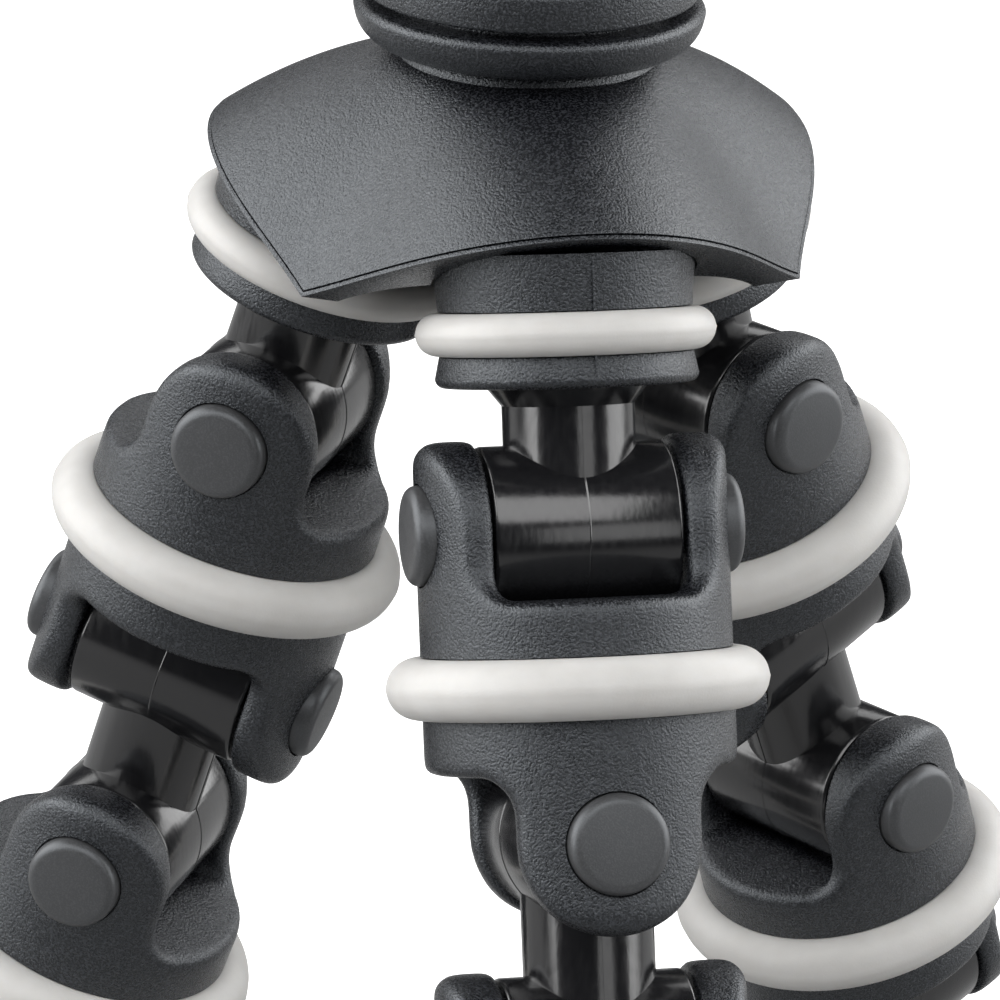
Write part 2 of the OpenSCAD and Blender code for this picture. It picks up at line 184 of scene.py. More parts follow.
# The hub's cover: the upper half of the hub, a bell of charcoal plastic that slopes from its neck to a rim
# with three arches over the legs and three points between them. It is injection moulded, with the mould's fine
# spark-eroded grain, and screwed to the base from below.
hub_top = 17.6 * mm
neck_reach = 9.4 * mm
rim_r = 23.3 * mm
rim_lobe = 1.8 * mm
rim_point = 4.5
bulge_mean = 1.25 * mm
bulge_lobe = -0.2 * mm
rim_over = 1.12
bell_steps = 26
shell_drop = 2.4 * mm
leg_turn = {"front": 0.0, "left": math.radians(240), "right": math.radians(120)}
legs = list(leg_turn)
facet_low = -4.9 * mm
facet_slope = math.radians(30.8)
facet_floor = -8 * mm
lip_height = 0.45 * mm
facet_rise = lip_height / math.cos(facet_slope)
hub_edge = 0.25 * mm
sharp_from = math.radians(40)
hub_steps = 168
weld = 0.003 * mm
cut_snap = 0.001 * mm


def arc(centre, radius, start, end, steps):
    """Points along an arc in a half section, with its angles in degrees."""
    turns = [math.radians(start + (end - start) * i / steps) for i in range(steps + 1)]
    return [(centre[0] + radius * math.cos(t), centre[1] + radius * math.sin(t)) for t in turns]


def turned(name, section, steps):
    """A piece spun about Z from its half section, a list of radius and height."""
    bpy.ops.object.select_all(action="DESELECT")
    bpy.ops.mesh.primitive_plane_add(size=mm)
    piece = bpy.context.object
    piece.name = name
    bpy.ops.object.mode_set(mode="EDIT")
    bpy.ops.mesh.select_all(action="SELECT")
    bpy.ops.mesh.merge(type="CENTER")
    bpy.ops.transform.translate(value=(section[0][0], 0, section[0][1]))
    for (r0, z0), (r1, z1) in zip(section, section[1:]):
        bpy.ops.mesh.extrude_region_move(TRANSFORM_OT_translate={"value": (r1 - r0, 0, z1 - z0)})
    bpy.ops.mesh.select_all(action="SELECT")
    bpy.ops.mesh.spin(steps=steps, angle=math.tau, center=(0, 0, 0), axis=(0, 0, 1))
    bpy.ops.mesh.select_all(action="SELECT")
    bpy.ops.mesh.remove_doubles(threshold=weld)
    bpy.ops.mesh.normals_make_consistent(inside=False)
    bpy.ops.object.mode_set(mode="OBJECT")
    return piece


def hub_bell(name, drop, cut_height):
    """The hub's bell as a filled solid, let down by drop. Above cut_height its underside is cut to the three
    sloping faces over the legs, which meet its sides in the arched rim."""
    steps = [i * rim_over / bell_steps for i in range(bell_steps + 1)]
    section = [(0, 0)] + [(neck_reach + t * rim_r, 0) for t in steps]
    bell = turned(name, section + [(section[-1][0], facet_floor), (0, facet_floor)], hub_steps)
    arch_low = facet_low + facet_rise
    for v in bell.data.vertices:
        r = math.hypot(v.co.x, v.co.y)
        on_top = v.co.z > facet_floor / 2
        if r > neck_reach:
            way = math.atan2(v.co.y, v.co.x)
            lobe = math.sin(3 * way)
            reach = rim_r + rim_lobe * lobe
            over_leg = math.log(sum(math.exp(rim_point * math.cos(way + math.pi / 2 - turn))
                                    for turn in leg_turn.values())) / rim_point
            arch = arch_low + reach * over_leg * math.tan(facet_slope)
            t = (r - neck_reach) / rim_r
            bulge = 4 * (bulge_mean + bulge_lobe * lobe) * t * (1 - t)
            drawn = neck_reach + (reach - neck_reach) * t
            v.co.x *= drawn / r
            v.co.y *= drawn / r
            if on_top:
                v.co.z = (arch - hub_top) * t + bulge
        if on_top:
            v.co.z += hub_top - drop
    bpy.ops.object.mode_set(mode="EDIT")
    for turn in leg_turn.values():
        bpy.ops.mesh.select_all(action="SELECT")
        up = Matrix.Rotation(turn, 3, "Z") @ Vector((0, math.sin(facet_slope), math.cos(facet_slope)))
        bpy.ops.mesh.bisect(plane_co=(0, 0, cut_height), plane_no=up, use_fill=True, clear_inner=True,
                            threshold=cut_snap)
    bpy.ops.object.mode_set(mode="OBJECT")
    bell.data.transform(Matrix.Translation((0, 0, ring_plane)))
    return bell


def apply_modifier(piece, kind, **settings):
    """Adds a modifier with its settings and applies it."""
    bpy.context.view_layer.objects.active = piece
    modifier = piece.modifiers.new(kind.lower(), kind)
    for key, value in settings.items():
        setattr(modifier, key, value)
    bpy.ops.object.modifier_apply(modifier=modifier.name)


def carve(piece, tool, operation="DIFFERENCE"):
    """Cuts the tool out of the piece, or joins it on, and takes the tool away."""
    apply_modifier(piece, "BOOLEAN", object=tool, operation=operation, solver="EXACT")
    bpy.data.objects.remove(tool)


def smooth(piece, angle):
    """Shades a piece smooth, apart from edges sharper than the angle in degrees."""
    bpy.ops.object.select_all(action="DESELECT")
    piece.select_set(True)
    bpy.context.view_layer.objects.active = piece
    bpy.ops.object.shade_smooth_by_angle(angle=math.radians(angle))


def new_material(name, roughness, **sockets):
    """A material with its shader's plain sockets set, and its nodes, links and shader to work on."""
    material = bpy.data.materials.new(name)
    material.use_nodes = True
    shader = material.node_tree.nodes["Principled BSDF"]
    shader.inputs["Roughness"].default_value = roughness
    for socket, value in sockets.items():
        shader.inputs[socket.replace("_", " ")].default_value = value
    return material, material.node_tree.nodes, material.node_tree.links, shader


# The plastic's grain: fine pits that a spark-eroded mould prints on it. They give a height for the bump and a
# crest mask, which is 0 in the hollows and 1 on the crests; the materials paint shade into the hollows and a
# highlight on the crests with it.
grain = bpy.data.node_groups.new("spark_grain", "ShaderNodeTree")
grain.interface.new_socket("Pits per metre", in_out="INPUT", socket_type="NodeSocketFloat")
grain.interface.new_socket("Height", in_out="OUTPUT", socket_type="NodeSocketFloat")
grain.interface.new_socket("Crest mask", in_out="OUTPUT", socket_type="NodeSocketFloat")
grain_in = grain.nodes.new("NodeGroupInput")
grain_out = grain.nodes.new("NodeGroupOutput")
place = grain.nodes.new("ShaderNodeTexCoord")
pits = grain.nodes.new("ShaderNodeTexNoise")
pits.inputs["Detail"].default_value = 2.5
pits.inputs["Roughness"].default_value = 0.6
crest_mask = grain.nodes.new("ShaderNodeMapRange")
crest_mask.inputs["From Min"].default_value = 0.47
crest_mask.inputs["From Max"].default_value = 0.64
grain.links.new(place.outputs["Object"], pits.inputs["Vector"])
grain.links.new(grain_in.outputs["Pits per metre"], pits.inputs["Scale"])
grain.links.new(pits.outputs["Fac"], crest_mask.inputs["Value"])
grain.links.new(pits.outputs["Fac"], grain_out.inputs["Height"])
grain.links.new(crest_mask.outputs["Result"], grain_out.inputs["Crest mask"])


def grained_plastic(name, dark, light, pits_per_metre, depth, smooth_gloss, pit_gloss):
    """Moulded plastic: glossier in the grain's hollows and duller on its crests, with painted shade darkening
    the hollows and a painted highlight paling the crests.
    """
    material, nodes, links, shader = new_material(name, smooth_gloss, Specular_IOR_Level=0.95,
                                                   Specular_Tint=(0.9, 0.95, 1, 1))
    texture = nodes.new("ShaderNodeGroup")
    texture.node_tree = grain
    texture.inputs["Pits per metre"].default_value = pits_per_metre
    # Painted light: the colour runs from painted shade in the grain's hollows to a painted highlight on its
    # crests.
    tint = nodes.new("ShaderNodeMix")
    tint.data_type = "RGBA"
    tint.inputs["A"].default_value = dark
    tint.inputs["B"].default_value = light
    gloss = nodes.new("ShaderNodeMapRange")
    gloss.inputs["To Min"].default_value = smooth_gloss
    gloss.inputs["To Max"].default_value = pit_gloss
    bump = nodes.new("ShaderNodeBump")
    bump.inputs["Strength"].default_value = 1
    bump.inputs["Distance"].default_value = depth
    links.new(texture.outputs["Crest mask"], tint.inputs["Factor"])
    links.new(texture.outputs["Crest mask"], gloss.inputs["Value"])
    links.new(texture.outputs["Height"], bump.inputs["Height"])
    links.new(tint.outputs["Result"], shader.inputs["Base Color"])
    links.new(gloss.outputs["Result"], shader.inputs["Roughness"])
    links.new(bump.outputs["Normal"], shader.inputs["Normal"])
    return material


def fit(piece, body, slot, material, *nodes):
    """Gives a finished piece its material and its body, and hides the solids that it stands for. Its finish
    slot is not used.
    """
    piece.data.materials.clear()
    piece.data.materials.append(material)
    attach(piece, body)
    if nodes:
        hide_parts(*nodes)


# Its two colours are painted shade in the grain's hollows and a painted highlight on its crests.
charcoal = grained_plastic("charcoal_plastic", (0.002, 0.0024, 0.0035, 1), (0.031, 0.033, 0.039, 1),
                           pits_per_metre=5200, depth=0.11 * mm, smooth_gloss=0.22, pit_gloss=0.38)

hub_cover = hub_bell("hub_cover_shell", 0, facet_low + facet_rise)
carve(hub_cover, hub_bell("hub_hollow", shell_drop, facet_low))
apply_modifier(hub_cover, "BEVEL", width=hub_edge, segments=3, limit_method="ANGLE", angle_limit=sharp_from)
smooth(hub_cover, 35)
fit(hub_cover, "hub", "charcoal_plastic", charcoal, "hub_cover")


# The hub's base: the lower half, which fills the cover and closes it below, with seats for the three sockets
# and hollows between them. Its edge shows below the cover as a narrow band with a parting line above it.
parting_gap = 0.15 * mm
lip_drop = 0.12 * mm
base_gap = 0.1 * mm
base_ceiling = 6.5 * mm
hollow_r = 8 * mm
hollow_reach = 11 * mm
seat_bore_r = 10.2 * mm
seat_top = 6.2 * mm
socket_reach = 16.2 * mm
socket_lean = math.radians(-17.3)


def socket_place(leg):
    """A leg's socket, with Z up its leaning axis from the plane of its ring."""
    return (Matrix.Translation((0, 0, ring_plane)) @ Matrix.Rotation(leg_turn[leg], 4, "Z")
            @ Matrix.Translation((0, -socket_reach, 0)) @ Matrix.Rotation(socket_lean, 4, "X"))


def cylinder(name, radius, length, place, sides=96):
    """A closed cylinder along Z, put in its place."""
    bpy.ops.object.select_all(action="DESELECT")
    bpy.ops.mesh.primitive_cylinder_add(vertices=sides, radius=radius, depth=length)
    piece = bpy.context.object
    piece.name = name
    piece.data.transform(place)
    return piece


base = hub_bell("hub_base_body", lip_drop, facet_low)
carve(base, hub_bell("hub_above_lip", -lip_drop, facet_low + facet_rise - parting_gap))
carve(base, hub_bell("hub_core", shell_drop + base_gap, facet_low + base_gap), "UNION")
hollow_depth = base_ceiling - facet_floor
hollow_at = Matrix.Translation((0, hollow_reach, ring_plane + base_ceiling - hollow_depth / 2))
for leg in legs:
    across_hub = Matrix.Rotation(leg_turn[leg], 4, "Z")
    carve(base, cylinder(f"{leg}_hollow", hollow_r, hollow_depth, across_hub @ hollow_at))
    carve(base, cylinder(f"{leg}_seat", seat_bore_r, 2 * seat_top, socket_place(leg)))
apply_modifier(base, "BEVEL", width=hub_edge, segments=2, limit_method="ANGLE", angle_limit=sharp_from)
smooth(base, 35)
fit(base, "hub", "charcoal_plastic", charcoal, "hub_base")


# The leg sockets: three short cylinders of the same grained plastic, screwed into the base and leaning
# outwards, each with a groove for its ring, a rounded lower edge and a mould seam down its front.
socket_r = 10.1 * mm
socket_up = 6 * mm
socket_down = 4.1 * mm
socket_edge = 0.7 * mm
root_path_r = 9.85 * mm
root_cord_r = 1.65 * mm
groove_play = 0.1 * mm
seam_half = 0.07 * mm
seam_rise = 0.05 * mm
seam_root = 0.4 * mm


def copy_to(master, name, place):
    """A copy of a piece with its own mesh, moved into its place."""
    piece = master.copy()
    piece.data = master.data.copy()
    piece.name = name
    scene.collection.objects.link(piece)
    piece.data.transform(place)
    return piece


def block(name, low, high):
    """A box between two corners."""
    bpy.ops.object.select_all(action="DESELECT")
    bpy.ops.mesh.primitive_cube_add(size=1)
    piece = bpy.context.object
    piece.name = name
    size = Vector(high) - Vector(low)
    piece.data.transform(Matrix.Translation((Vector(low) + Vector(high)) / 2) @ Matrix.Diagonal((*size, 1)))
    return piece


lower_edge = arc((socket_r - socket_edge, -socket_down + socket_edge), socket_edge, 0, -90, 6)
groove = arc((root_path_r, 0), root_cord_r + groove_play, 81, 279, 16)
socket = turned("socket_pattern", [(0, socket_up), (socket_r, socket_up)]
                + [p for p in groove if p[0] < socket_r] + lower_edge + [(0, -socket_down)], 96)
for low, high in ((-socket_down + socket_edge, -root_cord_r), (root_cord_r, socket_up)):
    carve(socket, block("socket_seam", (-seam_half, -socket_r - seam_rise, low),
                        (seam_half, -socket_r + seam_root, high)), "UNION")
smooth(socket, 40)
for leg in legs:
    fit(copy_to(socket, f"{leg}_socket", socket_place(leg)), "hub", "charcoal_plastic", charcoal,
        "leg_sockets")
bpy.data.objects.remove(socket)


# The small rings: off-white silicone cords stretched into the sockets' grooves. They are moulded in two
# halves, which leaves a faint line round the outside, and they sit flat on the groove's bed.
bed_squash = 0.4 * mm
flash_rise = 0.05 * mm
flash_from = 0.999


def grip_ring(name, path_r, cord_r):
    """A stretched rubber ring with a flat bed inside and a mould line round its outside."""
    bpy.ops.object.select_all(action="DESELECT")
    bpy.ops.mesh.primitive_torus_add(major_segments=144, minor_segments=40,
                                     major_radius=path_r, minor_radius=cord_r)
    ring = bpy.context.object
    ring.name = name
    bed_r = path_r - cord_r + bed_squash
    for v in ring.data.vertices:
        r = math.hypot(v.co.x, v.co.y)
        new_r = max(r, bed_r) + (flash_rise if r > path_r + flash_from * cord_r else 0)
        v.co.x *= new_r / r
        v.co.y *= new_r / r
    smooth(ring, 50)
    return ring


silicone, nodes, links, shader = new_material("ring_silicone", 0.45, Subsurface_Weight=0.12,
                                              Subsurface_Radius=(0.0016, 0.0013, 0.0010))
place = nodes.new("ShaderNodeTexCoord")
cloud = nodes.new("ShaderNodeTexNoise")
cloud.inputs["Scale"].default_value = 420
cloud.inputs["Detail"].default_value = 4
tint = nodes.new("ShaderNodeMix")
tint.data_type = "RGBA"
tint.inputs["A"].default_value = (0.60, 0.585, 0.56, 1)
tint.inputs["B"].default_value = (0.72, 0.71, 0.69, 1)
dust = nodes.new("ShaderNodeTexNoise")
dust.inputs["Scale"].default_value = 5200
gloss = nodes.new("ShaderNodeMapRange")
gloss.inputs["To Min"].default_value = 0.36
gloss.inputs["To Max"].default_value = 0.56
bump = nodes.new("ShaderNodeBump")
bump.inputs["Distance"].default_value = 0.012 * mm
links.new(place.outputs["Object"], cloud.inputs["Vector"])
links.new(place.outputs["Object"], dust.inputs["Vector"])
links.new(cloud.outputs["Fac"], tint.inputs["Factor"])
links.new(tint.outputs["Result"], shader.inputs["Base Color"])
links.new(cloud.outputs["Fac"], gloss.inputs["Value"])
links.new(gloss.outputs["Result"], shader.inputs["Roughness"])
links.new(dust.outputs["Fac"], bump.inputs["Height"])
links.new(bump.outputs["Normal"], shader.inputs["Normal"])

root_ring = grip_ring("root_ring_pattern", root_path_r, root_cord_r)
for leg in legs:
    fit(copy_to(root_ring, f"{leg}_root_ring", socket_place(leg)), "hub", "ring_silicone", silicone,
        "root_rings")
bpy.data.objects.remove(root_ring)


# The root stems: glossy black mouldings fixed in the sockets, each with a flared flange, a round stem and a
# barrel across its end for the leg's first pin. The barrel's ends have a fine chamfer, and the mould's seam
# runs down the stem and round the barrel's middle.
root_drop = 15.2 * mm
stem_r = 5.1 * mm
flange_r = 6.3 * mm
flange_h = 1.5 * mm
barrel_r = 6.6 * mm
barrel_half = 7.3 * mm
barrel_edge = 0.35 * mm
stem_sink = 1 * mm
along_x = Matrix.Rotation(math.pi / 2, 4, "Y")


def barrel(name, place):
    """A barrel along X with fine chamfers round its ends, at its place."""
    flank = arc((barrel_r - barrel_edge, barrel_half - barrel_edge), barrel_edge, 90, 0, 3)
    seam = [(barrel_r, seam_half), (barrel_r + seam_rise, 0), (barrel_r, -seam_half)]
    section = [(0, barrel_half)] + flank + seam + [(r, -z) for r, z in reversed(flank)] + [(0, -barrel_half)]
    piece = turned(name, section, 112)
    piece.data.transform(place @ along_x)
    return piece


def streaked(name, stretch, scale, dark, light, gloss_range, depth, **sockets):
    """A smooth finish with fine streaks, drawn out along the axes that stretch makes small."""
    material, nodes, links, shader = new_material(name, gloss_range[0], **sockets)
    place = nodes.new("ShaderNodeTexCoord")
    drawn = nodes.new("ShaderNodeMapping")
    drawn.inputs["Scale"].default_value = stretch
    streaks = nodes.new("ShaderNodeTexNoise")
    streaks.inputs["Scale"].default_value = scale
    streaks.inputs["Detail"].default_value = 3
    gloss = nodes.new("ShaderNodeMapRange")
    gloss.inputs["To Min"].default_value, gloss.inputs["To Max"].default_value = gloss_range
    tint = nodes.new("ShaderNodeMix")
    tint.data_type = "RGBA"
    tint.inputs["A"].default_value = dark
    tint.inputs["B"].default_value = light
    bump = nodes.new("ShaderNodeBump")
    bump.inputs["Distance"].default_value = depth
    links.new(place.outputs["Object"], drawn.inputs["Vector"])
    links.new(drawn.outputs["Vector"], streaks.inputs["Vector"])
    for user in (gloss.inputs["Value"], tint.inputs["Factor"], bump.inputs["Height"]):
        links.new(streaks.outputs["Fac"], user)
    links.new(tint.outputs["Result"], shader.inputs["Base Color"])
    links.new(gloss.outputs["Result"], shader.inputs["Roughness"])
    links.new(bump.outputs["Normal"], shader.inputs["Normal"])
    return material


gloss_black = streaked("gloss_black_plastic", (1, 1, 0.06), 2600, (0.005, 0.005, 0.006, 1),
                       (0.012, 0.012, 0.013, 1), (0.10, 0.27), 0.008 * mm, Specular_IOR_Level=1)
root_stem = turned("root_stem_pattern", [
    (0, -socket_down + stem_sink), (flange_r, -socket_down + stem_sink), (flange_r, -socket_down),
    (stem_r, -socket_down - flange_h), (stem_r, -root_drop), (0, -root_drop)], 96)
carve(root_stem, block("stem_seam", (-seam_half, -stem_r - seam_rise, -root_drop),
                       (seam_half, stem_r + seam_rise, -socket_down - flange_h)), "UNION")
carve(root_stem, barrel("root_barrel", Matrix.Translation((0, 0, -root_drop))), "UNION")
smooth(root_stem, 30)
for leg in legs:
    fit(copy_to(root_stem, f"{leg}_root_stem", socket_place(leg)), "hub", "gloss_black_plastic", gloss_black,
        "root_stems")
bpy.data.objects.remove(root_stem)


# The knuckles: charcoal mouldings with two ears up and two ears down, a quarter turn apart. The ears stand on
# the trunk's own round, run into its shoulders in fillets, and have a sunk seat for each pin's head.
pin_pitch = 23.4 * mm
knuckle_r = 12 * mm
shoulder_drop = 5.1 * mm
ear_r = 7.1 * mm
ear_in = 7.5 * mm
ear_fillet = 2.8 * mm
ear_sink = 1.5 * mm
trough_r = 7.1 * mm
corner_fillet = 0.5 * mm
ear_round = 1.7 * mm
ear_play = 0.05 * mm
grip_path_r = 12.35 * mm
grip_cord_r = 2.35 * mm
seat_r = 4.0 * mm
seat_floor = 10.9 * mm
knuckle_grid = 0.3 * mm
edge_rounds = 22
plate_half = knuckle_r + 1 * mm
beyond = 2 * knuckle_r


def ear_pair(place):
    """Two ears either side of a pin along X: one plate cut to the trunk's round and to a crown with soft edges,
    with a slot between."""
    foot = ear_r + ear_fillet
    fillet = arc((foot, ear_fillet - shoulder_drop), ear_fillet, 270, 180, 8)
    flank = [(foot, -shoulder_drop - ear_sink)] + fillet
    outline = flank + arc((0, 0), ear_r, 0, 180, 40) + [(-y, z) for y, z in reversed(flank)]
    bpy.ops.object.select_all(action="DESELECT")
    bpy.ops.mesh.primitive_circle_add(vertices=len(outline), radius=ear_r, fill_type="NGON")
    ears = bpy.context.object
    for v, (y, z) in zip(ears.data.vertices, outline):
        v.co = (-plate_half, y, z)
    bpy.ops.object.mode_set(mode="EDIT")
    bpy.ops.mesh.select_all(action="SELECT")
    bpy.ops.mesh.extrude_region_move(TRANSFORM_OT_translate={"value": (2 * plate_half, 0, 0)})
    bpy.ops.mesh.select_all(action="SELECT")
    bpy.ops.mesh.normals_make_consistent(inside=False)
    bpy.ops.object.mode_set(mode="OBJECT")
    carve(ears, cylinder("round", knuckle_r, 2 * beyond, Matrix.Identity(4), 160), "INTERSECT")
    crown = arc((ear_r + ear_play - ear_round, knuckle_r - ear_round), ear_round, 0, 90, 6)
    crown = [(0, -knuckle_r)] + [(r, -z) for r, z in reversed(crown)] + crown + [(0, knuckle_r)]
    keep = turned("ear_crown", crown, 120)
    keep.data.transform(along_x)
    carve(keep, block("below_pin", (-beyond, -beyond, -beyond), (beyond, beyond, 0)), "UNION")
    carve(ears, keep, "INTERSECT")
    carve(ears, block("slot", (-ear_in, -beyond, -beyond), (ear_in, beyond, beyond)))
    ears.data.transform(place)
    return ears


def soften(piece):
    """Melts overlapping solids into one skin, fills its inner corners with a fillet and rounds its edges."""
    apply_modifier(piece, "REMESH", mode="VOXEL", voxel_size=knuckle_grid)
    for push in (corner_fillet, -corner_fillet):
        apply_modifier(piece, "DISPLACE", strength=push, mid_level=0)
        apply_modifier(piece, "REMESH", mode="VOXEL", voxel_size=knuckle_grid)
    apply_modifier(piece, "SMOOTH", factor=0.5, iterations=edge_rounds)


upper = Matrix.Identity(4)
lower = (Matrix.Translation((0, 0, -pin_pitch)) @ Matrix.Rotation(math.pi / 2, 4, "Z")
         @ Matrix.Rotation(math.pi, 4, "X"))


def clevis_body(name, trunk_low, ends):
    """A trunk with a pair of ears at each of its ends, troughs for the barrels and seats for pin heads."""
    trunk_high = -shoulder_drop
    body = cylinder(name, knuckle_r, trunk_high - trunk_low,
                    Matrix.Translation((0, 0, (trunk_high + trunk_low) / 2)), 160)
    for end in ends:
        carve(body, cylinder("trough", trough_r, 2 * ear_in, end @ along_x))
    ears = [ear_pair(end) for end in ends]
    bpy.ops.object.select_all(action="DESELECT")
    for piece in ears + [body]:
        piece.select_set(True)
    bpy.context.view_layer.objects.active = body
    bpy.ops.object.join()
    soften(body)
    for end in ends:
        for side in (-1, 1):
            seat = Matrix.Translation((side * (seat_floor + knuckle_r / 2), 0, 0))
            carve(body, cylinder("pin_seat", seat_r, knuckle_r, end @ seat @ along_x, 64))
    return body


knuckle = clevis_body("knuckle_pattern", -pin_pitch + shoulder_drop, (upper, lower))
bpy.ops.object.select_all(action="DESELECT")
bpy.ops.mesh.primitive_torus_add(major_segments=128, minor_segments=32, major_radius=grip_path_r,
                                 minor_radius=grip_cord_r + groove_play)
groove_tool = bpy.context.object
groove_tool.data.transform(Matrix.Translation((0, 0, -pin_pitch / 2)))
carve(knuckle, groove_tool)
smooth(knuckle, 50)

joint = {j["name"]: j for j in frame["joints"]}
steps = [1, 2, 3]


def leg_frame(origin, below, axis_name, axis):
    """A place with Z up the leg from the point below, and X or Y along a pin."""
    up = (origin - below).normalized()
    if axis_name == "X":
        across = axis
        inward = up.cross(across).normalized()
        across = inward.cross(up)
    else:
        inward = axis
        across = inward.cross(up).normalized()
        inward = up.cross(across)
    place = Matrix((across, inward, up)).transposed().to_4x4()
    place.translation = origin
    return place


def pin_axis(name, step):
    """A joint's axis in its leg's own sense: the joints' signs alternate down the leg."""
    return Vector(joint[name]["axis"]) * (1 if step % 2 else -1)


def knuckle_place(leg, step):
    """A knuckle, from its upper pin down to its lower one."""
    top = Vector(joint[f"{leg}_bend_{step}"]["pos_m"])
    bottom = Vector(joint[f"{leg}_swing_{step}"]["pos_m"])
    return leg_frame(top, bottom, "X", pin_axis(f"{leg}_bend_{step}", step))


def link_place(leg, step):
    """A link, from the pin of the knuckle above it down to the pin of the one below."""
    top = Vector(joint[f"{leg}_swing_{step}"]["pos_m"])
    bottom = Vector(joint[f"{leg}_bend_{step + 1}"]["pos_m"])
    return leg_frame(top, bottom, "Y", pin_axis(f"{leg}_swing_{step}", step))


for leg in legs:
    for step in steps:
        fit(copy_to(knuckle, f"{leg}_knuckle_{step}_body", knuckle_place(leg, step)), f"{leg}_knuckle_{step}",
            "charcoal_plastic", charcoal, f"{leg}_knuckle_{step}")
bpy.data.objects.remove(knuckle)


# The grip rings: thicker silicone rings of the same make as the small ones, stretched over the ears into the
# groove round each knuckle, where they grip whatever the leg is wound about.
ring = grip_ring("grip_ring_pattern", grip_path_r, grip_cord_r)
ring.data.transform(Matrix.Translation((0, 0, -pin_pitch / 2)))
for leg in legs:
    for step in steps:
        fit(copy_to(ring, f"{leg}_ring_{step}_cord", knuckle_place(leg, step)), f"{leg}_knuckle_{step}",
            "ring_silicone", silicone, f"{leg}_ring_{step}")
bpy.data.objects.remove(ring)


# The hinge pins: dark grey plastic with a finer, duller grain, pressed in from both sides so that a round
# head with a soft edge closes each end.
pin_r = 2.2 * mm
pin_head_r = 3.85 * mm
pin_end = 13.1 * mm
pin_head_edge = 0.85 * mm
pin_dome = 0.2 * mm

# Its two colours are painted shade in the grain's hollows and a painted highlight on its crests.
pin_grey = grained_plastic("pin_plastic", (0.042, 0.042, 0.043, 1), (0.066, 0.066, 0.068, 1),
                           pits_per_metre=7000, depth=0.012 * mm, smooth_gloss=0.40, pit_gloss=0.55)
half_pin = ([(0, pin_end)] + arc((pin_head_r - pin_head_edge, pin_end - pin_dome - pin_head_edge),
                                 pin_head_edge, 90, 0, 8)
            + [(pin_head_r, seat_floor), (pin_r, seat_floor)])
pin = turned("pin_pattern", half_pin + [(r, -z) for r, z in reversed(half_pin)], 72)
pin.data.transform(along_x)
smooth(pin, 40)


def pins_at(name, ends, place):
    """The pins of one knuckle or foot as a single piece."""
    bpy.ops.object.select_all(action="DESELECT")
    for end in ends:
        piece = copy_to(pin, name, place @ end)
        piece.select_set(True)
        bpy.context.view_layer.objects.active = piece
    if len(ends) > 1:
        bpy.ops.object.join()
    piece = bpy.context.view_layer.objects.active
    piece.name = name
    return piece


for leg in legs:
    for step in steps:
        fit(pins_at(f"{leg}_pins_{step}_pair", (upper, lower), knuckle_place(leg, step)),
            f"{leg}_knuckle_{step}", "pin_plastic", pin_grey, f"{leg}_pins_{step}")


# The links: glossy black mouldings of two crossed barrels on a short stem. Each joins two knuckles, or the
# last knuckle and the foot, on their pins.
link_pitch = 17.2 * mm
seam_short = 1 * mm

link = cylinder("link_pattern", stem_r, link_pitch, Matrix.Translation((0, 0, -link_pitch / 2)))
carve(link, block("link_seam", (-seam_half, -stem_r - seam_rise, -link_pitch + seam_short),
                  (seam_half, stem_r + seam_rise, -seam_short)), "UNION")
carve(link, barrel("upper_barrel", Matrix.Rotation(math.pi / 2, 4, "Z")), "UNION")
carve(link, barrel("lower_barrel", Matrix.Translation((0, 0, -link_pitch))), "UNION")
smooth(link, 30)
for leg in legs:
    for step in steps:
        fit(copy_to(link, f"{leg}_link_{step}_barrels", link_place(leg, step)), f"{leg}_link_{step}",
            "gloss_black_plastic", gloss_black, f"{leg}_link_{step}")
bpy.data.objects.remove(link)


# The feet: a last pair of ears on a short trunk of the same plastic, with a pin, and a round off-white
# rubber tip pushed on below.
foot_trunk_low = -13.1 * mm
foot_ball_low = -17.5 * mm
foot_ball_r = 13 * mm
tip_edge = 0.6 * mm
tip_lap = 3
foot_step = len(steps) + 1

foot = clevis_body("foot_pattern", foot_trunk_low, (upper,))
smooth(foot, 50)
tip_start = math.degrees(math.asin((foot_trunk_low - foot_ball_low) / foot_ball_r))
dome = arc((0, foot_ball_low), foot_ball_r, tip_start - tip_lap, -90, 28)
tip = turned("tip_pattern", [(0, foot_trunk_low), (dome[0][0] - tip_edge, foot_trunk_low)] + dome, 96)
smooth(tip, 50)


def foot_place(leg):
    """A foot, which goes on from its pin in line with the last link."""
    top = Vector(joint[f"{leg}_bend_{foot_step}"]["pos_m"])
    above = Vector(joint[f"{leg}_swing_{foot_step - 1}"]["pos_m"])
    return leg_frame(top, 2 * top - above, "X", pin_axis(f"{leg}_bend_{foot_step}", foot_step))


for leg in legs:
    fit(copy_to(foot, f"{leg}_foot_body", foot_place(leg)), f"{leg}_foot", "charcoal_plastic", charcoal,
        f"{leg}_foot")
    fit(pins_at(f"{leg}_foot_pin_single", (upper,), foot_place(leg)), f"{leg}_foot", "pin_plastic", pin_grey,
        f"{leg}_foot_pin")
    fit(copy_to(tip, f"{leg}_foot_tip_ball", foot_place(leg)), f"{leg}_foot", "ring_silicone", silicone,
        f"{leg}_foot_tip")
bpy.data.objects.remove(foot)
bpy.data.objects.remove(tip)
bpy.data.objects.remove(pin)


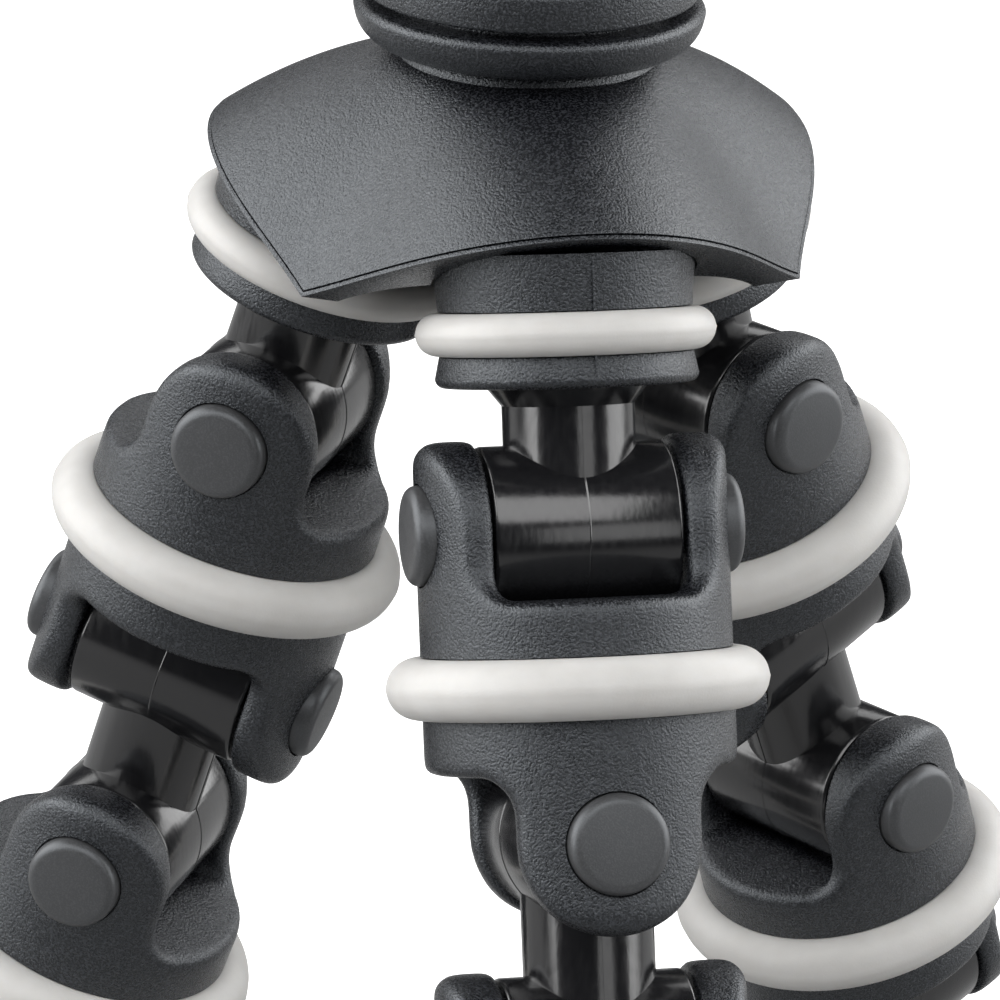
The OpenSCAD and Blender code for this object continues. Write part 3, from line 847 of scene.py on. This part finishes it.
# The head's base: neck, saucer and threaded tube in one charcoal moulding, bolted to the hub from inside. The
# saucer is a shallow bowl with a rounded lip, and a dark groove separates it from the lock ring.
neck_r = 9 * mm
neck_z = 17.35 * mm
collar_flare = 1.1 * mm
saucer_r = 13.7 * mm
bowl_r = 2.75 * mm
bowl_at_r = 10.9 * mm
bowl_at_z = 21.2 * mm
groove_r = 11 * mm
groove_low = 21.8 * mm
lock_low = 22.5 * mm
tube_r = 10.2 * mm
tube_bore_r = 9.05 * mm
tube_floor = 20 * mm
tube_top = 30.5 * mm
lip_r = 0.6 * mm
on_hub = Matrix.Translation((0, 0, ring_plane))


def on_axis(name, section, material, slot, body, node, steps=128, angle=35):
    """A round piece of the head, turned on the tripod's axis from heights above the sockets' rings."""
    piece = turned(name, section, steps)
    piece.data.transform(on_hub)
    smooth(piece, angle)
    fit(piece, body, slot, material, node)
    return piece


collar_foot = arc((neck_r, neck_z), collar_flare, 0, 80, 5)
bowl = arc((bowl_at_r, bowl_at_z), bowl_r, -95, -12, 12)
lip = arc((saucer_r - lip_r, groove_low - lip_r), lip_r, -15, 90, 8)
on_axis("head_base_saucer", [(0, neck_z)] + collar_foot + [(neck_r, bowl[0][1])] + bowl + lip
        + [(groove_r, groove_low), (groove_r, lock_low), (tube_r, lock_low), (tube_r, tube_top),
           (tube_bore_r, tube_top), (tube_bore_r, tube_floor), (0, tube_floor)],
        charcoal, "charcoal_plastic", "hub", "head_base")


# The lock ring: a charcoal collar that twists on the tube's thread and draws its inturned lip down on the
# ball. Half-round ribs run up its side above a plain, slightly wider band.
lock_r = 12.2 * mm
lock_top = 36 * mm
lock_bore_r = 10.3 * mm
lock_ceiling = 30.8 * mm
lock_mouth_r = 7.6 * mm
mouth_flare = 1.1 * mm
lock_edge = 0.8 * mm
band_r = 13.1 * mm
band_top = 25.4 * mm
band_edge = 0.3 * mm
rib_count = 24
rib_end = 0.69 * mm
rib_sink = 0.25 * mm
rib_low = 25.7 * mm
rib_high = 34.8 * mm

lock_ring = on_axis("lock_ring_collar", [(lock_bore_r, lock_low)]
                    + arc((band_r - band_edge, lock_low + band_edge), band_edge, -90, 0, 4)
                    + arc((band_r - band_edge, band_top - band_edge), band_edge, 0, 90, 4)
                    + [(lock_r, band_top)]
                    + arc((lock_r - lock_edge, lock_top - lock_edge), lock_edge, 0, 90, 8)
                    + [(lock_mouth_r, lock_top), (lock_mouth_r + mouth_flare, lock_ceiling),
                       (lock_bore_r, lock_ceiling), (lock_bore_r, lock_low)],
                    charcoal, "charcoal_plastic", "lock_ring", "lock_ring", steps=144)
rib = turned("rib_pattern", arc((0, rib_high - rib_end), rib_end, 90, 0, 5)
             + arc((0, rib_low + rib_end), rib_end, 0, -90, 5), 20)
rib.data.transform(on_hub @ Matrix.Translation((lock_r - rib_sink, 0, 0)))
rib.data.materials.append(charcoal)
bpy.ops.object.select_all(action="DESELECT")
for i in range(rib_count):
    copy_to(rib, "rib", Matrix.Rotation(math.tau * i / rib_count, 4, "Z")).select_set(True)
lock_ring.select_set(True)
bpy.context.view_layer.objects.active = lock_ring
bpy.ops.object.join()
bpy.data.objects.remove(rib)
smooth(lock_ring, 35)


# The ball and its stud: turned steel with a fine lathe grain, gripped between the seat and the lock ring.
ball_z = 31.5 * mm
ball_r = 8.5 * mm
stud_r = 4 * mm
stud_top = 46 * mm
stud_neck = 0.8 * mm

steel = streaked("turned_steel", (0.05, 0.05, 1), 5000, (0.46, 0.46, 0.47, 1), (0.60, 0.60, 0.61, 1),
                 (0.18, 0.36), 0.004 * mm, Metallic=1.0)
stud_start = math.degrees(math.acos((stud_r + stud_neck) / ball_r))
neck_low = ball_z + ball_r * math.sin(math.radians(stud_start))
on_axis("ball_stud_turned", arc((0, ball_z), ball_r, -90, stud_start, 48)
        + arc((stud_r + stud_neck, neck_low + stud_neck), stud_neck, 250, 180, 5)
        + [(stud_r, stud_top), (0, stud_top)],
        steel, "screw_steel", "ball_stud", "ball_stud", angle=50)


# The hub's screws: six alike, of steel, round-headed with a cross recess. Three hold the cover's corners to the
# base from below, and three hold the sockets, from inside. The head's bolt, inside too, keeps its solid's form.
hub_screw_r = 1.5 * mm
screw_head_r = 2.7 * mm
screw_head_h = 2 * mm
screw_rim_h = 0.5 * mm
screw_grip = 1.9 * mm
screw_point = 0.5 * mm
recess_half = 0.3 * mm
recess_reach = 1.3 * mm
recess_depth = 0.9 * mm
corner_screw_reach = 15.5 * mm
socket_screw_up = 9 * mm
dome_steps = 10

head_turns = [math.radians(90 * i / dome_steps) for i in range(dome_steps + 1)]
head_dome = [(screw_head_r * math.sin(t), -screw_rim_h - (screw_head_h - screw_rim_h) * math.cos(t))
             for t in head_turns]
screw = turned("screw_pattern", head_dome + [(screw_head_r, 0), (hub_screw_r, 0), (hub_screw_r, screw_grip),
                                             (0, screw_grip + screw_point)], 48)
for across, along in ((recess_half, recess_reach), (recess_reach, recess_half)):
    carve(screw, block("screw_recess", (-across, -along, -screw_head_h - mm),
                       (across, along, recess_depth - screw_head_h)))
smooth(screw, 35)
for leg in legs:
    under_corner = (Matrix.Translation((0, 0, ring_plane)) @ Matrix.Rotation(leg_turn[leg], 4, "Z")
                    @ Matrix.Translation((0, corner_screw_reach, base_ceiling)))
    in_socket = (socket_place(leg) @ Matrix.Translation((0, 0, socket_screw_up))
                 @ Matrix.Rotation(math.pi, 4, "X"))
    fit(copy_to(screw, f"{leg}_corner_screw", under_corner), "hub", "screw_steel", steel, "hub_screws")
    fit(copy_to(screw, f"{leg}_socket_screw", in_socket), "hub", "screw_steel", steel, "hub_screws")
bpy.data.objects.remove(screw)
for part in frame["nodes"]["head_bolt"].material_slots:
    part.material = steel


# The ball's seat: a slippery cup of pale nylon in the tube, under the ball. It can hardly be seen, so it keeps
# its solid's form.
# Its two colours are painted shade in the grain's hollows and a painted highlight on its crests.
nylon = grained_plastic("seat_plastic", (0.60, 0.59, 0.56, 1), (0.70, 0.69, 0.66, 1),
                        pits_per_metre=2600, depth=0.006 * mm, smooth_gloss=0.32, pit_gloss=0.42)
for part in frame["nodes"]["ball_seat"].material_slots:
    part.material = nylon


# The camera platform: a charcoal disc with rounded edges on the stud, and a black rubber pad on it whose
# ridges keep a camera from turning.
platform_r = 14 * mm
platform_top = 50 * mm
platform_edge = 0.8 * mm
pad_r = 13.5 * mm
pad_top = 51.5 * mm
pad_bore_r = 3.2 * mm
ridge_pitch = 1.6 * mm
ridge_depth = 0.35 * mm
ridge_slope = 0.2 * ridge_pitch
pad_edge = 0.3 * mm

on_axis("platform_disc", [(0, stud_top)]
        + arc((platform_r - platform_edge, stud_top + platform_edge), platform_edge, -90, 0, 6)
        + arc((platform_r - platform_edge, platform_top - platform_edge), platform_edge, 0, 90, 6)
        + [(0, platform_top)], charcoal, "charcoal_plastic", "ball_stud", "platform")

# Its two colours are painted shade in the grain's hollows and a painted highlight on its crests.
rubber = grained_plastic("pad_rubber", (0.012, 0.012, 0.012, 1), (0.030, 0.030, 0.030, 1),
                         pits_per_metre=4200, depth=0.012 * mm, smooth_gloss=0.55, pit_gloss=0.72)
ridges = []
reach = pad_r - ridge_pitch
while reach > pad_bore_r + ridge_pitch:
    ridges += [(reach, pad_top), (reach - ridge_slope, pad_top - ridge_depth),
               (reach - 2 * ridge_slope, pad_top - ridge_depth), (reach - 3 * ridge_slope, pad_top)]
    reach -= ridge_pitch
on_axis("platform_pad_ridged", [(pad_bore_r, platform_top), (pad_r, platform_top)]
        + arc((pad_r - pad_edge, pad_top - pad_edge), pad_edge, 0, 90, 4) + ridges
        + [(pad_bore_r, pad_top), (pad_bore_r, platform_top)],
        rubber, "pad_rubber", "ball_stud", "platform_pad", steps=112, angle=30)


# The camera screw: a quarter-inch steel screw with twenty threads to the inch, held by its collar under the
# platform, with a chamfered end.
camera_screw_r = 3.175 * mm
screw_root_r = 2.45 * mm
screw_top = 57 * mm
thread_pitch = 1.27 * mm
thread_turns = 3
thread_gap = 0.1 * mm
thread_sink = 0.2 * mm
tooth_rise = 0.38 * thread_pitch
tooth_crest = 0.5 * thread_pitch
tooth_end = 0.88 * thread_pitch
screw_chamfer = 0.5 * mm
collar_r = pad_bore_r - 0.2 * mm

camera_screw = on_axis("camera_screw_thread", [
    (0, platform_top), (collar_r, platform_top), (collar_r, pad_top),
    (screw_root_r, pad_top), (screw_root_r, screw_top - screw_chamfer),
    (screw_root_r - screw_chamfer, screw_top), (0, screw_top)],
    steel, "screw_steel", "ball_stud", "camera_screw", steps=64)
bpy.ops.object.select_all(action="DESELECT")
bpy.ops.mesh.primitive_circle_add(vertices=4, radius=mm)
thread = bpy.context.object
tooth = [(screw_root_r - thread_sink, 0), (camera_screw_r, tooth_rise), (camera_screw_r, tooth_crest),
         (screw_root_r - thread_sink, tooth_end)]
for v, (r, z) in zip(thread.data.vertices, tooth):
    v.co = (r, 0, pad_top + thread_gap + z)
apply_modifier(thread, "SCREW", angle=math.tau, screw_offset=thread_pitch, iterations=thread_turns, steps=48,
               render_steps=48, use_normal_calculate=True)
bpy.ops.object.mode_set(mode="EDIT")
bpy.ops.mesh.select_mode(type="EDGE")
bpy.ops.mesh.select_all(action="DESELECT")
bpy.ops.mesh.select_non_manifold()
bpy.ops.mesh.fill()
bpy.ops.mesh.select_all(action="SELECT")
bpy.ops.mesh.normals_make_consistent(inside=False)
bpy.ops.object.mode_set(mode="OBJECT")
thread.data.transform(on_hub)
thread.data.materials.append(steel)
bpy.ops.object.select_all(action="DESELECT")
thread.select_set(True)
camera_screw.select_set(True)
bpy.context.view_layer.objects.active = camera_screw
bpy.ops.object.join()
smooth(camera_screw, 30)
